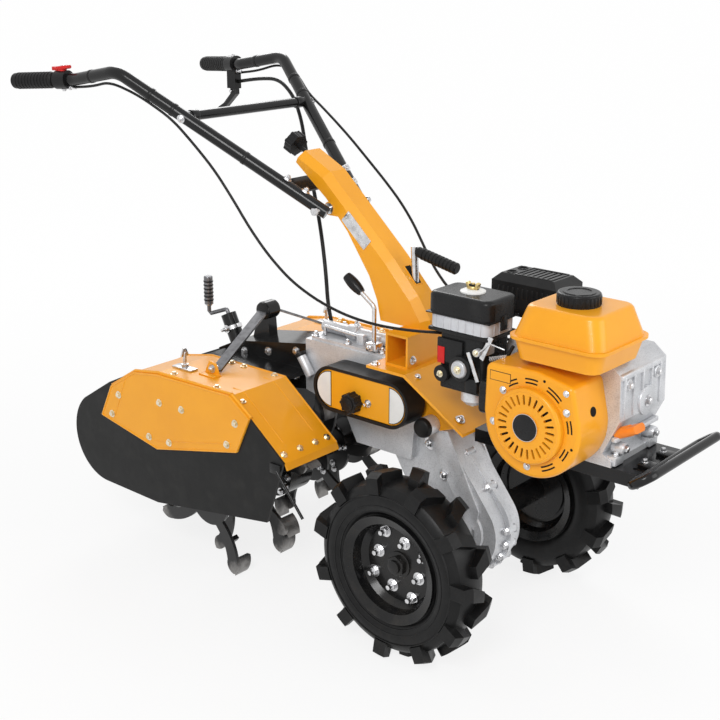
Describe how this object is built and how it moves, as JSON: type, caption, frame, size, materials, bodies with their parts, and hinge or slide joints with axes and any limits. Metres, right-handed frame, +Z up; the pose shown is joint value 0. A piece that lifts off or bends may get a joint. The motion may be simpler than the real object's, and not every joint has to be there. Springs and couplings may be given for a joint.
{
  "type": "hand tractor with rear rotary tiller",
  "caption": "Walk-behind hand tractor with lugged wheels, small engine, rear rotary tiller and tilting handlebar.",
  "frame": {"origin": "on the ground, under the middle of the machine's length and width", "axes": "+X forward to the bumper, +Y to the left, +Z up"},
  "size_m": [1.6332, 0.6366, 1.1486],
  "materials": {
    "black_paint": "satin",
    "black_plastic": "satin",
    "black_rubber": "matte",
    "grey_plastic": "satin",
    "orange_plastic": "gloss",
    "plated_steel": "satin",
    "red_plastic": "gloss",
    "silver_casting": "satin",
    "tyre_rubber": "matte",
    "yellow_paint": "gloss"
  },
  "bodies": {
    "tractor": {"air_cleaner_lid": "black_plastic", "air_cleaner_ring": "grey_plastic", "belt_cover": "yellow_paint", "belt_cover_knob": "black_plastic", "belt_cover_seal": "black_rubber", "box_bracket": "yellow_paint", "bumper": "black_paint", "carburettor": "black_plastic", "clutch_cable": "black_rubber", "column": "yellow_paint", "crankcase": "silver_casting", "depth_crank": "plated_steel", "depth_post": "black_paint", "dipstick": "orange_plastic", "engine_bed": "yellow_paint", "engine_frame": "black_paint", "fan_housing": "yellow_paint", "fuel_tank": "yellow_paint", "gear_case": "silver_casting", "gearbox_lid": "silver_casting", "knob_post": "black_paint", "left_hood": "yellow_paint", "left_side_guard": "black_rubber", "left_side_panel": "yellow_paint", "left_strap": "plated_steel", "muffler": "black_paint", "pivot_bolt": "plated_steel", "rear_apron": "black_paint", "recoil_cover": "yellow_paint", "recoil_handle": "black_plastic", "right_hood": "yellow_paint", "right_side_guard": "black_rubber", "right_side_panel": "yellow_paint", "right_strap": "plated_steel", "shift_grip": "black_rubber", "shift_lever": "plated_steel", "star_knob": "black_plastic", "stop_cable": "black_rubber", "tank_cap": "black_plastic", "throttle_cable": "black_rubber", "tiller_case": "black_paint", "tiller_knob": "black_plastic", "tiller_lever": "plated_steel"},
    "handlebar": {"right_bar": "black_paint", "left_bar": "black_paint", "crossbar": "black_paint", "handlebar_brace": "black_paint", "right_grip": "black_rubber", "left_grip": "black_rubber", "throttle_housing": "black_plastic", "throttle_lever": "red_plastic", "clutch_housing": "black_plastic", "clutch_lever": "black_paint"},
    "right_wheel": {"right_hub": "black_paint", "right_rim": "black_paint", "right_tyre": "tyre_rubber"},
    "left_wheel": {"left_hub": "black_paint", "left_rim": "black_paint", "left_tyre": "tyre_rubber"},
    "tine_rotor": {"rotor": "black_paint"}
  },
  "joints": [
    {"name": "right_wheel_spin", "type": "hinge", "parent": "tractor", "child": "right_wheel", "pos_m": [0.32629, -0.254, 0.205], "axis": [0, 1, 0], "continuous": true},
    {"name": "left_wheel_spin", "type": "hinge", "parent": "tractor", "child": "left_wheel", "pos_m": [0.32629, 0.254, 0.205], "axis": [0, 1, 0], "continuous": true},
    {"name": "rotor_spin", "type": "hinge", "parent": "tractor", "child": "tine_rotor", "pos_m": [-0.24871, 0, 0.17554], "axis": [0, 1, 0], "continuous": true},
    {"name": "handlebar_tilt", "type": "hinge", "parent": "tractor", "child": "handlebar", "pos_m": [-0.05771, 0, 0.856], "axis": [0, 1, 0], "range_deg": [-14, 6], "deforming": ["throttle_cable", "stop_cable", "clutch_cable"]}
  ]
}
